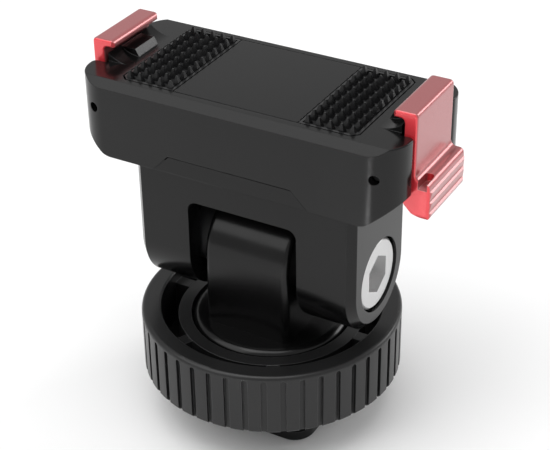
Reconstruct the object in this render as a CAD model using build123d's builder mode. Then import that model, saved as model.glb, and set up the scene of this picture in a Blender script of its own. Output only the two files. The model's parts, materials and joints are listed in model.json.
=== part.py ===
from build123d import *
import math
import os

os.makedirs("parts", exist_ok=True)

# A quick-release tilt mount: a housing with two spring claws, tilting on a fork and tongue hinge
# over a hand wheel that clamps a shoe foot.
# Sizes are in millimetres. X runs along the housing, with the lever claw at +X. The front is -Y
# and +Z is up. The origin is on the hand wheel's axis at the underside of the foot.

# Gaps
running_gap = 0.05  # radial, between a turning part and what it turns in
seat_gap = 0.02  # round pieces that are pressed or screwed together
groove_line = 0.16  # open line round inlaid plates and the key

# Foot and post
foot_length = 20.0
foot_width = 18.6
foot_thickness = 1.9
foot_corner = 3.0
foot_edge = 0.3
post_radius = 6.0
post_flat = 5.2  # distance of each flat from the axis
post_top = 12.8

# Tongue
flange_radius = 11.1
flange_top = 14.7
flange_edge = 1.25
tongue_half_width = 6.4
tongue_radius = 7.15
tongue_edge = 0.9
hinge_z = 25.25

# Screws and pins
stud_radius = 2.5
stud_low = 3.2
stud_high = 19.5
stud_chamfer = 0.4
pin_offset = 4.2
turn_pin_radius = 0.75
turn_pin_low = 9.3
turn_pin_high = 16.3
hinge_radius = 3.0
hinge_head_radius = 5.0
hinge_head_face = 16.2
hinge_head_depth = 5.0
hinge_socket_across = 5.0
hinge_socket_depth = 1.9
hinge_tip = -16.1
nut_across = 10.0
nut_face = -16.0
nut_depth = 5.0
counterbore_radius = 5.25

# Hand wheel
wheel_radius = 18.24
wheel_low = 6.67
wheel_high = 15.97
wheel_edge = 0.35
wheel_crown = 0.6
rim_inner = 15.55
rim_lip = 0.2
hub_outer = 13.15
hub_inner = 11.35
hub_high = 14.25
hub_floor = 10.0
pocket_floor = 7.9
spoke_count = 6
spoke_width = 1.75
spoke_top = 14.2
grip_count = 45
grip_width = 0.8
grip_depth = 0.5
grip_top = 15.35
insert_outer = 7.5
insert_low = 6.5

# Clamp pieces under the wheel
plate_radius = 12.0
plate_low = 4.2
plate_high = 6.0
washer_outer = 8.6

# Fork
ear_outer = 16.45
ear_inner = 8.2
fork_half_depth = 7.8  # also the radius of the round ear ends
fork_bevel = 1.0
window_top = 33.7
window_corner = 1.4
cavity_half_depth = 5.1
cavity_half_length = 9.7
cavity_low = 20.6
cavity_top = 36.4
key_top = 41.45
key_half_width = 11.3  # at the underside of the housing, with 45 degree sides
key_setback = 0.12
washer_radius = 4.6

# Housing
housing_low = 39.15
housing_high = 50.15
housing_half_length = 23.25
housing_half_width = 10.65
housing_corner = 4.2
housing_bevel = 1.05
housing_sweep_x = 4.3
housing_sweep_z = 3.45
housing_sweep_radius = 2.5
housing_edge = 0.2
slot_half_width = 5.55
slot_wall = 17.9  # inner end of the claw slot, below its roof
slot_mouth = 21.25  # inner end of the slot's opening in the top
slot_roof = 48.6
slot_corner = 0.75

# Guides under the hooks
guide_half_width = 5.1
guide_start = 18.3
guide_high = 51.25
lug_half_width = 2.3
lug_start = 18.35
lug_crest = 18.9
lug_high = 51.15

# Inlays in the top
inlay_floor = 48.95
inlay_half_length = 17.1
inlay_half_width = 8.75
inlay_corner = 0.85
cover_half_length = 8.9
magnet_radius = 3.0
magnet_depth = 3.0
magnet_x = 4.4
magnet_y = 4.1
pad_floor = 49.75
pad_frame = 0.35
spike_pitch = 1.54
spike_columns = 5
spike_rows = 11
spike_base = 0.94
spike_height = 1.25
spike_taper = 16.0
fork_screw_x = 12.4
fork_screw_y = 4.4
fork_screw_radius = 1.5
fork_screw_head = 2.75
fork_screw_head_depth = 2.9
fork_screw_tip = 33.0

# Claws
claw_half_width = 5.4
claw_pin_x = 20.25
claw_pin_z = 46.0
claw_pin_radius = 0.65
claw_pin_half_length = 9.4
boss_radius = 2.0
hook_tip = 20.1
hook_low = 52.2
hook_high = 53.2
hook_nose = 0.25
hook_brow = 0.6  # upper round of the tip, which lets a camera push the claw open
hook_cut = 0.4  # upright corners of the tip
stem_inner = 21.65
stem_outer = 23.4
hook_corner = 0.6
crown_radius = 0.55
side_edge = 0.3
lever_top = 44.15
lever_low = 38.85
fold_radius = 0.85
swell_radius = 0.75
lever_edge = 0.65  # upright ends of the thumb pad
lever_corner = 0.8  # lower corners of the thumb pad
lever_slot_width = 1.2
lever_slot_length = 2.7
lever_slot_floor = 43.1
lever_slot_x = 24.35
tooth_count = 3
tooth_pitch = 1.5
tooth_top = 43.05
tooth_step = 0.2
tooth_root = 25.3
spring_gap_half = 2.2
spring_clear = 1.3
spring_radius = 0.95
spring_wire = 0.17
spring_turns = 6
spring_pitch = 0.6


def inlay_outline(half_length, half_width, corner):
    """A rectangle on the Z axis with cut corners, for the recess in the top."""
    Rectangle(2 * half_length, 2 * half_width)
    chamfer(vertices(), length=corner)


# ---------------------------------------------------------------- base

with BuildPart() as shoe_foot:
    with BuildSketch():
        RectangleRounded(foot_length, foot_width, foot_corner)
    extrude(amount=foot_thickness)
    chamfer(shoe_foot.edges().group_by(Axis.Z)[0], length=foot_edge)
    chamfer(shoe_foot.edges().group_by(Axis.Z)[-1], length=foot_edge)
    with BuildSketch(Plane.XY.offset(foot_thickness)):
        Circle(post_radius)
        Rectangle(2 * post_radius, 2 * post_flat, mode=Mode.INTERSECT)
    extrude(amount=post_top - foot_thickness)
    with BuildSketch(Plane.XY.offset(stud_low - seat_gap)):
        Circle(stud_radius + seat_gap)
    extrude(amount=post_top - stud_low + seat_gap, mode=Mode.SUBTRACT)
    with BuildSketch(Plane.XY.offset(turn_pin_low)):
        with Locations((pin_offset, 0)):
            Circle(turn_pin_radius + seat_gap)
    extrude(amount=post_top - turn_pin_low, mode=Mode.SUBTRACT)
shoe_foot.part.label = "shoe_foot"
export_step(shoe_foot.part, "parts/shoe_foot.step")

with BuildPart() as tongue_post:
    with BuildSketch(Plane.YZ.offset(-tongue_half_width)):
        with Locations((0, hinge_z)):
            Circle(tongue_radius)
        with Locations((0, (hinge_z + flange_top) / 2)):
            Rectangle(2 * tongue_radius, hinge_z - flange_top)
    extrude(amount=2 * tongue_half_width)
    side_faces = tongue_post.faces().filter_by(Axis.X)
    side_edges = side_faces.edges().filter_by(lambda e: e.center().Z > flange_top + tongue_edge)
    fillet(side_edges, radius=tongue_edge)
    with BuildSketch(Plane.XY.offset(post_top)):
        Circle(flange_radius)
    extrude(amount=flange_top - post_top)
    flange_rim = tongue_post.edges().filter_by(
        lambda e: e.geom_type == GeomType.CIRCLE
        and abs(e.radius - flange_radius) < seat_gap
        and abs(e.center().Z - flange_top) < seat_gap
    )
    fillet(flange_rim, radius=flange_edge)
    with BuildSketch(Plane.YZ.offset(-tongue_half_width)):
        with Locations((0, hinge_z)):
            Circle(hinge_radius + running_gap)
    extrude(amount=2 * tongue_half_width, mode=Mode.SUBTRACT)
    with BuildSketch(Plane.XY.offset(post_top)):
        Circle(stud_radius + seat_gap)
    extrude(amount=stud_high + seat_gap - post_top, mode=Mode.SUBTRACT)
    with BuildSketch(Plane.XY.offset(post_top)):
        with Locations((pin_offset, 0)):
            Circle(turn_pin_radius + seat_gap)
    extrude(amount=turn_pin_high + running_gap - post_top, mode=Mode.SUBTRACT)
tongue_post.part.label = "tongue_post"
export_step(tongue_post.part, "parts/tongue_post.step")

with BuildPart() as post_stud:
    with BuildSketch(Plane.XY.offset(stud_low)):
        Circle(stud_radius)
    extrude(amount=stud_high - stud_low)
    chamfer(post_stud.edges().filter_by(GeomType.CIRCLE), length=stud_chamfer)
post_stud.part.label = "post_stud"
export_step(post_stud.part, "parts/post_stud.step")

with BuildPart() as anti_turn_pin:
    with BuildSketch(Plane.XY.offset(turn_pin_low + seat_gap)):
        with Locations((pin_offset, 0)):
            Circle(turn_pin_radius)
    extrude(amount=turn_pin_high - turn_pin_low - seat_gap)
anti_turn_pin.part.label = "anti_turn_pin"
export_step(anti_turn_pin.part, "parts/anti_turn_pin.step")

# ---------------------------------------------------------------- clamp

with BuildPart() as pressure_plate:
    with BuildSketch(Plane.XY.offset(plate_low)):
        Circle(plate_radius)
        with BuildSketch(Plane.XY.offset(plate_low), mode=Mode.PRIVATE) as keyed_hole:
            Circle(post_radius + 2 * running_gap)
            Rectangle(3 * post_radius, 2 * (post_flat + 2 * running_gap), mode=Mode.INTERSECT)
        add(keyed_hole.sketch, mode=Mode.SUBTRACT)
    extrude(amount=plate_high - plate_low)
    chamfer(pressure_plate.faces().sort_by(Axis.Z)[0].outer_wire().edges(), length=foot_edge)
pressure_plate.part.label = "pressure_plate"
export_step(pressure_plate.part, "parts/pressure_plate.step")

with BuildPart() as wheel_washer:
    with BuildSketch(Plane.XY.offset(plate_high)):
        Circle(washer_outer)
        Circle(post_radius + 2 * running_gap, mode=Mode.SUBTRACT)
    extrude(amount=insert_low - plate_high)
wheel_washer.part.label = "wheel_washer"
export_step(wheel_washer.part, "parts/wheel_washer.step")

# One grip groove, cut into the rim at +X: an upright slot with a round end at the top.
with BuildPart() as grip_groove:
    with BuildSketch(Plane.YZ.offset(wheel_radius - grip_depth)):
        with Locations((0, (grip_top + wheel_low - grip_width) / 2)):
            SlotOverall(grip_top - wheel_low + grip_width, grip_width, rotation=90)
    extrude(amount=2 * grip_depth)

with BuildPart() as hand_wheel:
    with BuildSketch(Plane.XZ):
        with BuildLine():
            Polyline(
                (insert_outer + seat_gap, wheel_low),
                (wheel_radius - wheel_edge, wheel_low),
                (wheel_radius, wheel_low + wheel_edge),
                (wheel_radius, wheel_high),
                (rim_inner + rim_lip, wheel_high),
                (rim_inner, wheel_high - rim_lip),
                (rim_inner, pocket_floor),
                (hub_outer, pocket_floor),
                (hub_outer, hub_high),
                (hub_inner, hub_high),
                (hub_inner, hub_floor),
                (insert_outer + seat_gap, hub_floor),
                close=True,
            )
        make_face()
    revolve(axis=Axis.Z)
    crown_edge = hand_wheel.edges().filter_by(
        lambda e: e.geom_type == GeomType.CIRCLE
        and abs(e.radius - wheel_radius) < seat_gap
        and abs(e.center().Z - wheel_high) < seat_gap
    )
    fillet(crown_edge, radius=wheel_crown)
    with BuildSketch(Plane.XY.offset(pocket_floor)):
        with PolarLocations((hub_outer + rim_inner) / 2, spoke_count):
            Rectangle(rim_inner - hub_outer + 1, spoke_width)
    extrude(amount=spoke_top - pocket_floor)
    with PolarLocations(0, grip_count):
        add(grip_groove.part, mode=Mode.SUBTRACT)
hand_wheel.part.label = "hand_wheel"
export_step(hand_wheel.part, "parts/hand_wheel.step")

with BuildPart() as thread_insert:
    with BuildSketch(Plane.XY.offset(insert_low)):
        Circle(insert_outer)
        Circle(post_radius + running_gap, mode=Mode.SUBTRACT)
    extrude(amount=hub_floor - insert_low)
thread_insert.part.label = "thread_insert"
export_step(thread_insert.part, "parts/thread_insert.step")

# ---------------------------------------------------------------- fork and hinge

with BuildPart() as yoke:
    with BuildSketch(Plane.YZ.offset(-ear_outer)):
        with Locations((0, hinge_z)):
            Circle(fork_half_depth)
        with Locations((0, (hinge_z + housing_low) / 2)):
            Rectangle(2 * fork_half_depth, housing_low - hinge_z)
    extrude(amount=2 * ear_outer)
    end_edges = yoke.faces().filter_by(Axis.X).edges()
    chamfer(end_edges.filter_by(lambda e: e.center().Z < housing_low - fork_bevel), length=fork_bevel)
    # the window that the tongue stands in, open at the bottom, front and back
    with BuildSketch(Plane.XZ):
        with Locations((0, window_top / 2)):
            Rectangle(2 * ear_inner, window_top)
        fillet(vertices().group_by(Axis.Y)[-1], radius=window_corner)
    extrude(amount=fork_half_depth, both=True, mode=Mode.SUBTRACT)
    with BuildSketch(Plane.XY.offset(cavity_low)):
        Rectangle(2 * cavity_half_length, 2 * cavity_half_depth)
    extrude(amount=cavity_top - cavity_low, mode=Mode.SUBTRACT)
    # the key that lies across the underside of the housing
    with BuildSketch(Plane.XZ):
        with Locations((0, housing_low)):
            Trapezoid(
                2 * key_half_width,
                key_top - housing_low,
                45,
                align=(Align.CENTER, Align.MIN),
            )
    extrude(amount=housing_half_width - key_setback, both=True)
    # hinge screw through both ears, its head in the right ear and the nut in the left
    with BuildSketch(Plane.YZ.offset(-ear_outer)):
        with Locations((0, hinge_z)):
            Circle(hinge_radius + seat_gap)
    extrude(amount=2 * ear_outer, mode=Mode.SUBTRACT)
    with BuildSketch(Plane.YZ.offset(hinge_head_face - hinge_head_depth)):
        with Locations((0, hinge_z)):
            Circle(counterbore_radius)
    extrude(amount=ear_outer, mode=Mode.SUBTRACT)
    with BuildSketch(Plane.YZ.offset(nut_face + nut_depth)):
        with Locations((0, hinge_z)):
            RegularPolygon(nut_across / 2 + running_gap, 6, major_radius=False)
    extrude(amount=-ear_outer, mode=Mode.SUBTRACT)
    with BuildSketch(Plane.XY.offset(fork_screw_tip)):
        with GridLocations(2 * fork_screw_x, 2 * fork_screw_y, 2, 2):
            Circle(fork_screw_radius + seat_gap)
    extrude(amount=key_top - fork_screw_tip, mode=Mode.SUBTRACT)
yoke.part.label = "yoke"
export_step(yoke.part, "parts/yoke.step")

with BuildPart() as hinge_screw:
    with BuildSketch(Plane.YZ.offset(hinge_head_face)):
        with Locations((0, hinge_z)):
            Circle(hinge_head_radius)
    extrude(amount=-hinge_head_depth)
    chamfer(hinge_screw.edges().group_by(Axis.X)[-1], length=0.3)
    with BuildSketch(Plane.YZ.offset(hinge_head_face - hinge_head_depth)):
        with Locations((0, hinge_z)):
            Circle(hinge_radius)
    extrude(amount=hinge_tip - hinge_head_face + hinge_head_depth)
    chamfer(hinge_screw.edges().group_by(Axis.X)[0], length=0.4)
    with BuildSketch(Plane.YZ.offset(hinge_head_face)):
        with Locations((0, hinge_z)):
            RegularPolygon(hinge_socket_across / 2, 6, major_radius=False, rotation=30)
    extrude(amount=-hinge_socket_depth, mode=Mode.SUBTRACT)
hinge_screw.part.label = "hinge_screw"
export_step(hinge_screw.part, "parts/hinge_screw.step")

with BuildPart() as hinge_nut:
    with BuildSketch(Plane.YZ.offset(nut_face)):
        with Locations((0, hinge_z)):
            RegularPolygon(nut_across / 2, 6, major_radius=False)
            Circle(hinge_radius + seat_gap, mode=Mode.SUBTRACT)
    extrude(amount=nut_depth)
hinge_nut.part.label = "hinge_nut"
export_step(hinge_nut.part, "parts/hinge_nut.step")

washer_gap = cavity_half_length - tongue_half_width
for side, side_name in ((-1, "left"), (1, "right")):
    with BuildPart() as friction_washer:
        with BuildSketch(Plane.YZ.offset(side * tongue_half_width)):
            with Locations((0, hinge_z)):
                Circle(washer_radius)
                Circle(hinge_radius + running_gap, mode=Mode.SUBTRACT)
        extrude(amount=side * washer_gap)
    friction_washer.part.label = f"friction_washer_{side_name}"
    export_step(friction_washer.part, f"parts/friction_washer_{side_name}.step")

# ---------------------------------------------------------------- housing

with BuildPart() as housing:
    # plan outline, with the mouths of the two claw slots
    with BuildSketch(Plane.XY.offset(housing_low)) as plan:
        RectangleRounded(2 * housing_half_length, 2 * housing_half_width, housing_corner)
        with Locations((-housing_half_length, 0), (housing_half_length, 0)):
            Rectangle(2 * (housing_half_length - slot_mouth), 2 * slot_half_width, mode=Mode.SUBTRACT)
        mouth_corners = plan.vertices().filter_by(
            lambda v: abs(abs(v.Y) - slot_half_width) < 0.01 and abs(v.X) > slot_mouth + 1
        )
        fillet(mouth_corners, radius=slot_corner)
    extrude(amount=housing_high - housing_low)
    # side view: the ends are cut back towards the underside
    with BuildSketch(Plane.XZ) as side_view:
        sweep_start_x = housing_half_length - housing_sweep_x
        sweep_end_z = housing_low + housing_sweep_z
        with BuildLine():
            Polyline(
                (sweep_start_x, housing_low),
                (housing_half_length, sweep_end_z),
                (housing_half_length, housing_high),
                (-housing_half_length, housing_high),
                (-housing_half_length, sweep_end_z),
                (-sweep_start_x, housing_low),
                close=True,
            )
        make_face()
        fillet(side_view.vertices().group_by(Axis.Y)[0], radius=housing_sweep_radius)
    extrude(amount=housing_half_width, both=True, mode=Mode.INTERSECT)
    # end view: the long top edges are bevelled
    with BuildSketch(Plane.YZ):
        with Locations((0, (housing_low + housing_high) / 2)):
            Rectangle(2 * housing_half_width, housing_high - housing_low)
        chamfer(vertices().group_by(Axis.Y)[-1], length=housing_bevel)
    extrude(amount=housing_half_length, both=True, mode=Mode.INTERSECT)
    # the end corners of the top are rounded over
    top_face = housing.faces().filter_by(Axis.Z).sort_by(Axis.Z)[-1]
    end_arcs = top_face.edges().filter_by(GeomType.CIRCLE)
    fillet(end_arcs, radius=housing_edge)
    # the rest of each claw slot lies under a roof, and is open below
    for side in (-1, 1):
        with BuildSketch(Plane.XY.offset(housing_low)):
            with Locations((side * (slot_wall + slot_mouth + 1) / 2, 0)):
                Rectangle(slot_mouth + 1 - slot_wall, 2 * slot_half_width)
        extrude(amount=slot_roof - housing_low, mode=Mode.SUBTRACT)
        # guide that the camera's edge rides up, with a lug in its middle
        with BuildSketch(Plane.XZ):
            with BuildLine():
                TangentArc(
                    (side * guide_start, housing_high),
                    (side * slot_mouth, guide_high),
                    tangent=(side, 0),
                )
                Polyline(
                    (side * slot_mouth, guide_high),
                    (side * slot_mouth, slot_roof),
                    (side * guide_start, slot_roof),
                    (side * guide_start, housing_high),
                )
            make_face()
        extrude(amount=guide_half_width, both=True)
        with BuildSketch(Plane.XZ):
            with BuildLine():
                Polyline(
                    (side * lug_start, housing_high),
                    (side * lug_crest, lug_high),
                    (side * slot_mouth, lug_high),
                    (side * slot_mouth, housing_high),
                    close=True,
                )
            make_face()
        extrude(amount=lug_half_width, both=True)
    # recess for the cover plate and the grip pads
    with BuildSketch(Plane.XY.offset(inlay_floor)):
        inlay_outline(inlay_half_length, inlay_half_width, inlay_corner)
    extrude(amount=housing_high - inlay_floor, mode=Mode.SUBTRACT)
    with BuildSketch(Plane.XY.offset(inlay_floor)):
        with GridLocations(2 * magnet_x, 2 * magnet_y, 2, 2):
            Circle(magnet_radius + seat_gap)
    extrude(amount=-magnet_depth, mode=Mode.SUBTRACT)
    with BuildSketch(Plane.XY.offset(inlay_floor)):
        with GridLocations(2 * fork_screw_x, 2 * fork_screw_y, 2, 2):
            Circle(fork_screw_head + seat_gap)
    extrude(amount=-fork_screw_head_depth, mode=Mode.SUBTRACT)
    with BuildSketch(Plane.XY.offset(inlay_floor)):
        with GridLocations(2 * fork_screw_x, 2 * fork_screw_y, 2, 2):
            Circle(fork_screw_radius + seat_gap)
    extrude(amount=housing_low - inlay_floor, mode=Mode.SUBTRACT)
    # groove for the fork's key, and the cross holes for the claw pins
    with BuildSketch(Plane.XZ):
        with Locations((0, housing_low)):
            Trapezoid(
                2 * (key_half_width + groove_line),
                key_top - housing_low + groove_line,
                45,
                align=(Align.CENTER, Align.MIN),
            )
        with Locations((-claw_pin_x, claw_pin_z), (claw_pin_x, claw_pin_z)):
            Circle(claw_pin_radius + seat_gap)
    extrude(amount=housing_half_width, both=True, mode=Mode.SUBTRACT)
housing.part.label = "housing"
export_step(housing.part, "parts/housing.step")

with BuildPart() as cover_plate:
    with BuildSketch(Plane.XY.offset(inlay_floor)):
        Rectangle(2 * cover_half_length, 2 * (inlay_half_width - groove_line))
    extrude(amount=housing_high - inlay_floor)
cover_plate.part.label = "cover_plate"
export_step(cover_plate.part, "parts/cover_plate.step")

with BuildPart() as magnets:
    with BuildSketch(Plane.XY.offset(inlay_floor - magnet_depth)):
        with GridLocations(2 * magnet_x, 2 * magnet_y, 2, 2):
            Circle(magnet_radius)
    extrude(amount=magnet_depth - seat_gap)
magnets.part.label = "magnets"
export_step(magnets.part, "parts/magnets.step")

with BuildPart() as yoke_screws:
    with BuildSketch(Plane.XY.offset(inlay_floor - fork_screw_head_depth)):
        with GridLocations(2 * fork_screw_x, 2 * fork_screw_y, 2, 2):
            Circle(fork_screw_head)
            RegularPolygon(1.4, 6, mode=Mode.SUBTRACT)
    extrude(amount=fork_screw_head_depth - seat_gap)
    with BuildSketch(Plane.XY.offset(fork_screw_tip + seat_gap)):
        with GridLocations(2 * fork_screw_x, 2 * fork_screw_y, 2, 2):
            Circle(fork_screw_radius)
    extrude(amount=inlay_floor - fork_screw_head_depth - fork_screw_tip + 1)
yoke_screws.part.label = "yoke_screws"
export_step(yoke_screws.part, "parts/yoke_screws.step")

pad_near = cover_half_length + groove_line
pad_far = inlay_half_length - groove_line
pad_half_width = inlay_half_width - groove_line
pad_centre = (pad_near + pad_far) / 2
pad_length = pad_far - pad_near
for side, side_name in ((-1, "left"), (1, "right")):
    with BuildPart() as grip_pad:
        with BuildSketch(Plane.XY.offset(inlay_floor)):
            with Locations((side * pad_centre, 0)):
                Rectangle(pad_length, 2 * pad_half_width)
            far_corners = vertices().filter_by(lambda v: abs(v.X) > pad_centre)
            chamfer(far_corners, length=inlay_corner)
        extrude(amount=housing_high - inlay_floor)
        with BuildSketch(Plane.XY.offset(pad_floor)):
            with Locations((side * pad_centre, 0)):
                Rectangle(pad_length - 2 * pad_frame, 2 * (pad_half_width - pad_frame))
            field_corners = vertices().filter_by(lambda v: abs(v.X) > pad_centre)
            chamfer(field_corners, length=inlay_corner)
        extrude(amount=housing_high - pad_floor, mode=Mode.SUBTRACT)
        with BuildSketch(Plane.XY.offset(pad_floor)):
            with Locations((side * pad_centre, 0)):
                with GridLocations(spike_pitch, spike_pitch, spike_columns, spike_rows):
                    Rectangle(spike_base, spike_base)
        extrude(amount=spike_height, taper=spike_taper)
    grip_pad.part.label = f"grip_pad_{side_name}"
    export_step(grip_pad.part, f"parts/grip_pad_{side_name}.step")

# ---------------------------------------------------------------- claws

# The outer side of the lever claw below its stem, going down: shoulder, then the teeth.
tooth_tip = tooth_root + tooth_step
lever_shoulder = [(stem_outer, lever_top), (tooth_root, lever_top)]
lever_teeth = []
for index in range(tooth_count):
    tooth_z = tooth_top - index * tooth_pitch
    lever_teeth.append((tooth_root, tooth_z))
    lever_teeth.append((tooth_tip, tooth_z - tooth_step))
lever_end = [(25.35, 39.3), (24.95, lever_low), (24.2, 39.0), (23.0, 39.5), (22.0, 40.5)]
plain_side = [(stem_outer, 44.6), (22.9, 43.1)]
plain_end = [(22.3, 42.0)]

for side, side_name in ((-1, "left"), (1, "right")):
    if side > 0:
        outer_side = lever_shoulder + lever_teeth
        lower_end = lever_end
    else:
        outer_side = plain_side
        lower_end = plain_end
    with BuildPart() as claw:
        with BuildSketch(Plane.XZ):
            with BuildLine():
                Polyline(
                    [(side * x, z) for x, z in [(stem_outer, hook_high)] + outer_side + lower_end[:1]]
                )
                Polyline(
                    [(side * x, z) for x, z in lower_end]
                    + [
                        (side * 19.6, 44.1),
                        (side * claw_pin_x, claw_pin_z),
                        (side * stem_inner, 47.6),
                        (side * stem_inner, hook_low),
                        (side * hook_tip, hook_low),
                        (side * hook_tip, hook_high),
                        (side * stem_outer, hook_high),
                    ]
                )
            make_face()
            with Locations((side * claw_pin_x, claw_pin_z)):
                Circle(boss_radius)
            hook_root = vertices().sort_by_distance((side * stem_inner, hook_low))[0]
            fillet(hook_root, radius=hook_corner)
            nose = vertices().sort_by_distance((side * hook_tip, hook_low))[0]
            fillet(nose, radius=hook_nose)
            brow = vertices().sort_by_distance((side * hook_tip, hook_high))[0]
            fillet(brow, radius=hook_brow)
            crown = vertices().sort_by_distance((side * stem_outer, hook_high))[0]
            fillet(crown, radius=crown_radius)
            if side > 0:
                fold = vertices().sort_by_distance(lever_shoulder[0])[0]
                fillet(fold, radius=fold_radius)
                swell = vertices().sort_by_distance(lever_shoulder[1])[0]
                fillet(swell, radius=swell_radius)
        extrude(amount=claw_half_width, both=True)
        if side > 0:
            # rounded upright ends and lower corners of the thumb pad
            with BuildSketch(Plane.XY.offset(lever_low - lever_edge)):
                with Locations((tooth_tip, 0)):
                    Rectangle(2 * lever_edge, 2 * claw_half_width)
                with Locations((tooth_tip - claw_half_width, 0)):
                    RectangleRounded(
                        2 * claw_half_width, 2 * claw_half_width, lever_edge, mode=Mode.SUBTRACT
                    )
            extrude(amount=lever_top - lever_low + 2 * lever_edge, mode=Mode.SUBTRACT)
            with BuildSketch(Plane.YZ.offset(stem_inner)):
                with Locations((0, lever_low)):
                    Rectangle(2 * claw_half_width, 2 * lever_corner)
                with Locations((0, lever_low + claw_half_width)):
                    RectangleRounded(
                        2 * claw_half_width, 2 * claw_half_width, lever_corner, mode=Mode.SUBTRACT
                    )
            extrude(amount=claw_half_width, mode=Mode.SUBTRACT)
            # round-ended slot in the shoulder, open at the front end of the thumb pad
            with BuildSketch(Plane.XY.offset(lever_slot_floor)):
                with Locations((lever_slot_x, -claw_half_width)):
                    SlotOverall(2 * lever_slot_length, lever_slot_width, rotation=90)
            extrude(amount=2 * lever_slot_width, mode=Mode.SUBTRACT)
        stem_edges = claw.edges().filter_by(Axis.Z).filter_by(
            lambda e: abs(abs(e.center().X) - stem_outer) < seat_gap and e.center().Z > claw_pin_z
        )
        fillet(stem_edges, radius=side_edge)
        # seen from above, the corners of the tip are cut off
        with BuildSketch(Plane.XY.offset(hook_low - hook_nose)):
            with GridLocations(2 * hook_tip, 2 * claw_half_width, 2, 2):
                Rectangle(hook_cut * math.sqrt(2), hook_cut * math.sqrt(2), rotation=45)
        extrude(amount=hook_high - hook_low + 2 * hook_nose, mode=Mode.SUBTRACT)
        # the boss is open in the middle for the spring
        with BuildSketch(Plane.XZ):
            with Locations((side * claw_pin_x, claw_pin_z)):
                Circle(spring_clear)
            with Locations((side * (claw_pin_x - boss_radius), claw_pin_z)):
                Rectangle(2 * boss_radius, 2 * boss_radius + 0.4)
        extrude(amount=spring_gap_half, both=True, mode=Mode.SUBTRACT)
        with BuildSketch(Plane.XZ):
            with Locations((side * claw_pin_x, claw_pin_z)):
                Circle(claw_pin_radius + running_gap)
        extrude(amount=claw_half_width, both=True, mode=Mode.SUBTRACT)
    claw.part.label = f"claw_{side_name}"
    export_step(claw.part, f"parts/claw_{side_name}.step")

    with BuildPart() as claw_pin:
        with BuildSketch(Plane.XZ):
            with Locations((side * claw_pin_x, claw_pin_z)):
                Circle(claw_pin_radius)
        extrude(amount=claw_pin_half_length, both=True)
        chamfer(claw_pin.edges().filter_by(GeomType.CIRCLE), length=0.12)
    claw_pin.part.label = f"claw_pin_{side_name}"
    export_step(claw_pin.part, f"parts/claw_pin_{side_name}.step")

    spring_length = spring_turns * spring_pitch
    with BuildPart() as claw_spring:
        with BuildLine():
            coil = Helix(
                spring_pitch,
                spring_length,
                spring_radius,
                center=(side * claw_pin_x, -spring_length / 2, claw_pin_z),
                direction=(0, 1, 0),
            )
        with BuildSketch(Plane(origin=coil @ 0, z_dir=coil % 0)):
            Circle(spring_wire)
        sweep()
    claw_spring.part.label = f"claw_spring_{side_name}"
    export_step(claw_spring.part, f"parts/claw_spring_{side_name}.step")
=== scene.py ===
import bpy
import json
import math
from mathutils import Matrix, Vector


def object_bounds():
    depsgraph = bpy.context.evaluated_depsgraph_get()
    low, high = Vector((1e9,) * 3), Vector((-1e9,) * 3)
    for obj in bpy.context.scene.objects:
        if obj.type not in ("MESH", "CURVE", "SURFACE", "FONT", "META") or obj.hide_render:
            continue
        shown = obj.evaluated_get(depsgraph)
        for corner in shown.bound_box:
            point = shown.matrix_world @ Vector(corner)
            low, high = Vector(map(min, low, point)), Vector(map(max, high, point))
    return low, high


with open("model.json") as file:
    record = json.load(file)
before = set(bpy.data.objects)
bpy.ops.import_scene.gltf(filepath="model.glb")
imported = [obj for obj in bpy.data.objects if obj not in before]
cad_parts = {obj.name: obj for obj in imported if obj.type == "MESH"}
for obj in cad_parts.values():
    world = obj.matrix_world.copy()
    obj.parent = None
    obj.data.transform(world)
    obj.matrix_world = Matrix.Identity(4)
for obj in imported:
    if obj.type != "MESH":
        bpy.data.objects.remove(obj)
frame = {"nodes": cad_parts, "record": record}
cad_low, cad_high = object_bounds()

MM = 0.001


# ---------------------------------------------------------------- materials

FINE_GRAIN = 0.00012         # size of the blasted texture under the anodising, in metres
FINE_DEPTH = 0.000002        # depth of that texture and of turning marks
MOULDED_DEPTH = 0.000006     # depth of the texture of moulded pieces
EDGE_RADIUS = 0.00012        # how far the light rounds off the edge of an anodised piece
EDGE_SAMPLES = 6             # rays that find a rounded edge
EDGE_GAIN = 4.0              # how quickly the edge mask rises to 1
NOISE_USUAL = (0.3, 0.7)     # where nearly all of a noise's values lie
DEEP_RED_FROM = 0.55          # a red face takes the deep red, without the painted sheen, from this much facing along Y
DEEP_RED_GAIN = 4.0
# lighter colours painted on sharp edges: edge wear and painted highlight
WORN_AND_LIT_BLACK = (0.16, 0.16, 0.165)
WORN_AND_LIT_RED = (0.95, 0.60, 0.60)


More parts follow.
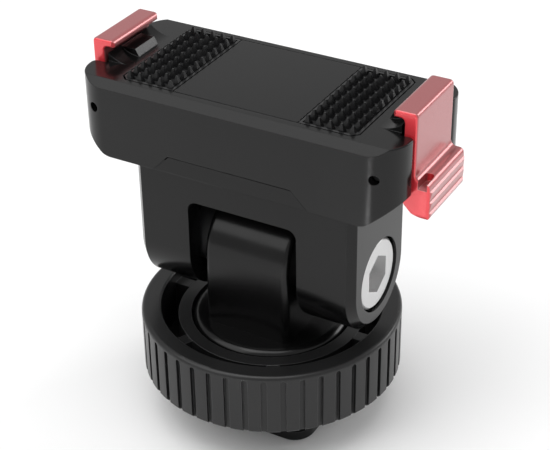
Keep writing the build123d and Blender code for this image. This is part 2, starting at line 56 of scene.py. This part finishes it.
class Shader:
    """A small helper round one material's node tree."""

    def __init__(self, name):
        self.material = bpy.data.materials.new(name)
        self.material.use_nodes = True
        self.nodes = self.material.node_tree.nodes
        self.links = self.material.node_tree.links
        self.bsdf = self.nodes["Principled BSDF"]
        coordinates = self.nodes.new("ShaderNodeTexCoord")
        self.place = coordinates.outputs["Object"]
        self.facing = coordinates.outputs["Normal"]

    def feed(self, socket, value):
        """Puts a number, a colour or another node's output into a socket."""
        if isinstance(value, tuple):
            socket.default_value = (*value, 1)
        elif isinstance(value, (int, float)):
            socket.default_value = value
        else:
            self.links.new(value, socket)

    def math(self, operation, first, second=0.0, clamp=False):
        node = self.nodes.new("ShaderNodeMath")
        node.operation = operation
        node.use_clamp = clamp
        self.feed(node.inputs[0], first)
        self.feed(node.inputs[1], second)
        return node.outputs[0]

    def noise(self, size, detail=3.0, stretch=(1, 1, 1)):
        """Noise with features about this size, in metres."""
        mapping = self.nodes.new("ShaderNodeMapping")
        mapping.inputs["Scale"].default_value = stretch
        self.feed(mapping.inputs["Vector"], self.place)
        node = self.nodes.new("ShaderNodeTexNoise")
        node.inputs["Scale"].default_value = 1 / size
        node.inputs["Detail"].default_value = detail
        self.feed(node.inputs["Vector"], mapping.outputs[0])
        return node.outputs["Fac"]

    def spread(self, source, low, high):
        """Maps the usual range of a noise to low..high, and holds the ends beyond it."""
        node = self.nodes.new("ShaderNodeMapRange")
        node.inputs["From Min"].default_value, node.inputs["From Max"].default_value = NOISE_USUAL
        node.inputs["To Min"].default_value = low
        node.inputs["To Max"].default_value = high
        self.feed(node.inputs["Value"], source)
        return node.outputs[0]

    def softened(self, radius):
        """The normal, rounded off over this radius at edges."""
        bevel = self.nodes.new("ShaderNodeBevel")
        bevel.samples = EDGE_SAMPLES
        bevel.inputs["Radius"].default_value = radius
        return bevel.outputs[0]

    def lit_and_worn_edges(self, softened_normal):
        """A mask that is 1 on sharp edges, where the softened normal turns away from the face;
        there the edges are painted lighter, as edge wear and painted highlight.
        """
        geometry = self.nodes.new("ShaderNodeNewGeometry")
        dot = self.nodes.new("ShaderNodeVectorMath")
        dot.operation = "DOT_PRODUCT"
        self.feed(dot.inputs[0], softened_normal)
        self.feed(dot.inputs[1], geometry.outputs["Normal"])
        lost = self.math("SUBTRACT", 1.0, dot.outputs["Value"])
        return self.math("MULTIPLY", lost, EDGE_GAIN, clamp=True)

    def bump(self, height, depth, normal=None):
        node = self.nodes.new("ShaderNodeBump")
        node.inputs["Distance"].default_value = depth
        node.inputs["Strength"].default_value = 1.0
        self.feed(node.inputs["Height"], height)
        if normal is not None:
            self.feed(node.inputs["Normal"], normal)
        return node.outputs[0]

    def mix(self, factor, first, second):
        node = self.nodes.new("ShaderNodeMix")
        node.data_type = "RGBA"
        node.clamp_factor = True
        self.feed(node.inputs["Factor"], factor)
        self.feed(node.inputs["A"], first)
        self.feed(node.inputs["B"], second)
        return node.outputs["Result"]

    def surface(self, **values):
        """Sets inputs of the surface: Base_Color is its socket "Base Color", and so on."""
        for name, value in values.items():
            self.feed(self.bsdf.inputs[name.replace("_", " ")], value)


def anodised_black(name, shade, roughness, edge=EDGE_RADIUS, gloss=0.32, wear_plus_highlight=0.12):
    s = Shader(name)
    normal = s.softened(edge)
    fine = s.noise(FINE_GRAIN, 4.0)
    broad = s.noise(0.006, 2.0)
    dark = (shade * 0.85, shade * 0.85, shade * 0.87)
    light = (shade * 1.25, shade * 1.25, shade * 1.28)
    body = s.mix(broad, dark, light)
    patchy = s.spread(broad, roughness - 0.02, roughness + 0.03)
    s.surface(
        # sharp edges painted lighter: edge wear and painted highlight
        Base_Color=s.mix(s.math("MULTIPLY", s.lit_and_worn_edges(normal), wear_plus_highlight), body, WORN_AND_LIT_BLACK),
        Roughness=s.math("ADD", patchy, s.math("MULTIPLY", fine, 0.03)),
        Specular_IOR_Level=gloss,
        Normal=s.bump(fine, FINE_DEPTH, normal),
    )
    return s.material


def anodised_red(name):
    """Red: faces towards +Y or -Y are deep red; the other faces are paler, greyer and more
    metallic, a painted sheen for the light they reflect.
    """
    s = Shader(name)
    normal = s.softened(EDGE_RADIUS)
    fine = s.noise(FINE_GRAIN, 4.0)
    brushed = s.noise(0.0004, 3.0, stretch=(6, 1, 6))
    separate = s.nodes.new("ShaderNodeSeparateXYZ")
    s.feed(separate.inputs[0], s.facing)
    along_y = s.math("ABSOLUTE", separate.outputs["Y"])
    ends = s.math("MULTIPLY", s.math("SUBTRACT", along_y, DEEP_RED_FROM), DEEP_RED_GAIN, clamp=True)
    # the paler, greyer red is a painted sheen on the faces that don't face along Y
    sheen_pale_red = s.mix(brushed, (0.39, 0.094, 0.098), (0.46, 0.118, 0.123))
    deep_red = s.mix(brushed, (0.80, 0.035, 0.05), (0.88, 0.045, 0.06))
    body = s.mix(ends, sheen_pale_red, deep_red)
    s.surface(
        # sharp edges painted pale pink: edge wear and painted highlight
        Base_Color=s.mix(s.math("MULTIPLY", s.lit_and_worn_edges(normal), 0.5), body, WORN_AND_LIT_RED),
        Metallic=s.spread(ends, 0.55, 0.35),
        Roughness=s.spread(brushed, 0.27, 0.36),
        Coat_Weight=0.6,
        Coat_Roughness=0.16,
        Coat_IOR=1.7,
        Normal=s.bump(fine, FINE_DEPTH, normal),
    )
    return s.material


def rubber_black(name):
    s = Shader(name)
    fine = s.noise(0.00015, 4.0)
    broad = s.noise(0.003, 2.0)
    s.surface(
        Base_Color=s.mix(broad, (0.005, 0.005, 0.0055), (0.010, 0.010, 0.0105)),
        Roughness=s.spread(broad, 0.20, 0.30),
        Normal=s.bump(fine, MOULDED_DEPTH),
    )
    return s.material


def bright_steel(name, shade, roughness, metallic=1.0):
    s = Shader(name)
    normal = s.softened(0.0001)
    turned = s.noise(0.0003, 3.0, stretch=(8, 1, 1))
    s.surface(
        Base_Color=s.mix(turned, (shade * 0.93,) * 3, (shade * 1.04,) * 3),
        Metallic=metallic,
        Roughness=s.spread(turned, roughness - 0.04, roughness + 0.06),
        Normal=s.bump(turned, FINE_DEPTH, normal),
    )
    return s.material


def turned_brass(name):
    s = Shader(name)
    turned = s.noise(0.0003, 3.0, stretch=(1, 1, 8))
    s.surface(
        Base_Color=s.mix(turned, (0.62, 0.42, 0.16), (0.78, 0.56, 0.24)),
        Metallic=1.0,
        Roughness=s.spread(turned, 0.22, 0.36),
        Normal=s.bump(turned, 0.000003),
    )
    return s.material


def moulded_nylon(name):
    s = Shader(name)
    fine = s.noise(0.0002, 4.0)
    s.surface(
        Base_Color=s.mix(fine, (0.015, 0.015, 0.016), (0.03, 0.03, 0.031)),
        Roughness=s.spread(fine, 0.42, 0.55),
        Normal=s.bump(fine, MOULDED_DEPTH),
    )
    return s.material


finishes = {
    "black_metal": anodised_black("black_metal", 0.0030, 0.17),
    "cover_metal": anodised_black("cover_metal", 0.0030, 0.15, gloss=0.28),
    # the wheel's edges are painted lighter than the others: edge wear and painted highlight at
    # the grooves
    "wheel_metal": anodised_black("wheel_metal", 0.0110, 0.30, gloss=0.38, wear_plus_highlight=0.4),
    "red_metal": anodised_red("red_metal"),
    "pad_rubber": rubber_black("pad_rubber"),
    "steel": bright_steel("steel", 0.66, 0.42, 0.7),
    "dark_steel": bright_steel("dark_steel", 0.05, 0.35, 0.6),
    "spring_steel": bright_steel("spring_steel", 0.5, 0.25),
    "nickel": bright_steel("nickel", 0.68, 0.15),
    "brass": turned_brass("brass"),
    "washer_plastic": moulded_nylon("washer_plastic"),
}

# two black pieces differ a little from the others: the post's corners are barely softened,
# and both reflect slightly less
own_finish = {
    "tongue_post": anodised_black("tongue_metal", 0.0030, 0.19, edge=0.00001, gloss=0.30),
    "yoke": anodised_black("yoke_metal", 0.0030, 0.18, gloss=0.29),
}

for entry in frame["record"]["subparts"]:
    node = frame["nodes"][entry["node"]]
    node.data.materials.clear()
    node.data.materials.append(own_finish.get(entry["node"], finishes[entry["material_slot"]]))

# ---------------------------------------------------------------- studio

FLOOR_HALF = 3.0                        # half the floor's width
WORLD_STRENGTH = 0.60
LIT_POINT = Vector((0, 0, 0.03))        # the middle of the object, where the softboxes aim
STRIP_HEIGHT = 0.12
STRIP_SPREAD = math.radians(10)

floor_mesh = bpy.data.meshes.new("floor")
floor_mesh.from_pydata(
    [(x, y, cad_low.z) for x, y in ((-1, -1), (1, -1), (1, 1), (-1, 1))], [], [(0, 1, 2, 3)]
)
floor_mesh.transform(Matrix.Diagonal((FLOOR_HALF, FLOOR_HALF, 1, 1)))
floor = bpy.data.objects.new("floor", floor_mesh)
bpy.context.scene.collection.objects.link(floor)
paper = Shader("paper")
paper.surface(
    Base_Color=paper.mix(paper.noise(0.02, 2.0), (0.94, 0.94, 0.94), (0.96, 0.96, 0.96)),
    Roughness=0.9,
)
floor_mesh.materials.append(paper.material)

world = bpy.data.worlds.new("studio")
bpy.context.scene.world = world
world.use_nodes = True
backdrop = world.node_tree.nodes["Background"]
backdrop.inputs["Color"].default_value = (1, 1, 1, 1)
backdrop.inputs["Strength"].default_value = WORLD_STRENGTH


def direction(azimuth, elevation):
    """The way out to a viewer, for angles in radians: azimuth 0 is the front, -Y."""
    return Vector(
        (
            math.sin(azimuth) * math.cos(elevation),
            -math.cos(azimuth) * math.cos(elevation),
            math.sin(elevation),
        )
    )


def area_light(name, shape, power):
    light = bpy.data.lights.new(name, "AREA")
    light.shape = shape
    light.energy = power
    lamp = bpy.data.objects.new(name, light)
    bpy.context.scene.collection.objects.link(lamp)
    return lamp


def softbox(name, azimuth, elevation, distance, size, power):
    """A square light that looks at the middle of the object; angles are in degrees."""
    lamp = area_light(name, "SQUARE", power)
    lamp.data.size = size
    away = direction(math.radians(azimuth), math.radians(elevation))
    lamp.location = LIT_POINT + away * distance
    lamp.rotation_mode = "QUATERNION"
    lamp.rotation_quaternion = (-away).to_track_quat("-Z", "Y")


def strip(name, start, end, width, power):
    """A narrow light that shines straight down on a strip of floor beside the object, in mm."""
    lamp = area_light(name, "RECTANGLE", power)
    along = Vector(end) - Vector(start)
    lamp.data.size = along.length * MM
    lamp.data.size_y = width * MM
    lamp.data.spread = STRIP_SPREAD
    middle = (Vector(start) + Vector(end)) * 0.5 * MM
    lamp.location = (middle.x, middle.y, STRIP_HEIGHT)
    lamp.rotation_euler.z = math.atan2(along.y, along.x)


softbox("key", -38, 48, 0.6, 0.50, 1.15)
softbox("top", 10, 82, 0.9, 0.7, 3.4)
softbox("rim", 143, 23, 0.8, 0.30, 1.4)
# its glow on the floor shows as an upright streak in the housing's corner
strip("front strip", (5, -58), (11, -100), 11, 0.0065)

# ---------------------------------------------------------------- camera

VIEW_AZIMUTH = math.radians(29.787)
VIEW_ELEVATION = math.radians(31.918)
VIEW_ROLL = math.radians(-0.828)
VIEW_DISTANCE = 203.76 * MM
VIEW_TARGET = Vector((0, 0, 27.27 * MM))
VIEW_SHIFT = (0.574 * MM, 0.707 * MM)   # to the camera's right and up
LENS_MM = 97.90
SENSOR_WIDTH_MM = 36
CLIP_START, CLIP_END = 0.01, 20

back = direction(VIEW_AZIMUTH, VIEW_ELEVATION)
right = Vector((math.cos(VIEW_AZIMUTH), math.sin(VIEW_AZIMUTH), 0))
up = back.cross(right)
rolled_right = right * math.cos(VIEW_ROLL) + up * math.sin(VIEW_ROLL)
rolled_up = up * math.cos(VIEW_ROLL) - right * math.sin(VIEW_ROLL)
stand = (
    VIEW_TARGET + back * VIEW_DISTANCE + rolled_right * VIEW_SHIFT[0] + rolled_up * VIEW_SHIFT[1]
)

camera_data = bpy.data.cameras.new("camera")
camera_data.lens = LENS_MM
camera_data.sensor_width = SENSOR_WIDTH_MM
camera_data.clip_start = CLIP_START
camera_data.clip_end = CLIP_END
camera = bpy.data.objects.new("camera", camera_data)
bpy.context.scene.collection.objects.link(camera)
camera.matrix_world = Matrix(
    (
        (rolled_right.x, rolled_up.x, back.x, stand.x),
        (rolled_right.y, rolled_up.y, back.y, stand.y),
        (rolled_right.z, rolled_up.z, back.z, stand.z),
        (0, 0, 0, 1),
    )
)
bpy.context.scene.camera = camera
bpy.context.scene.view_settings.view_transform = "Standard"
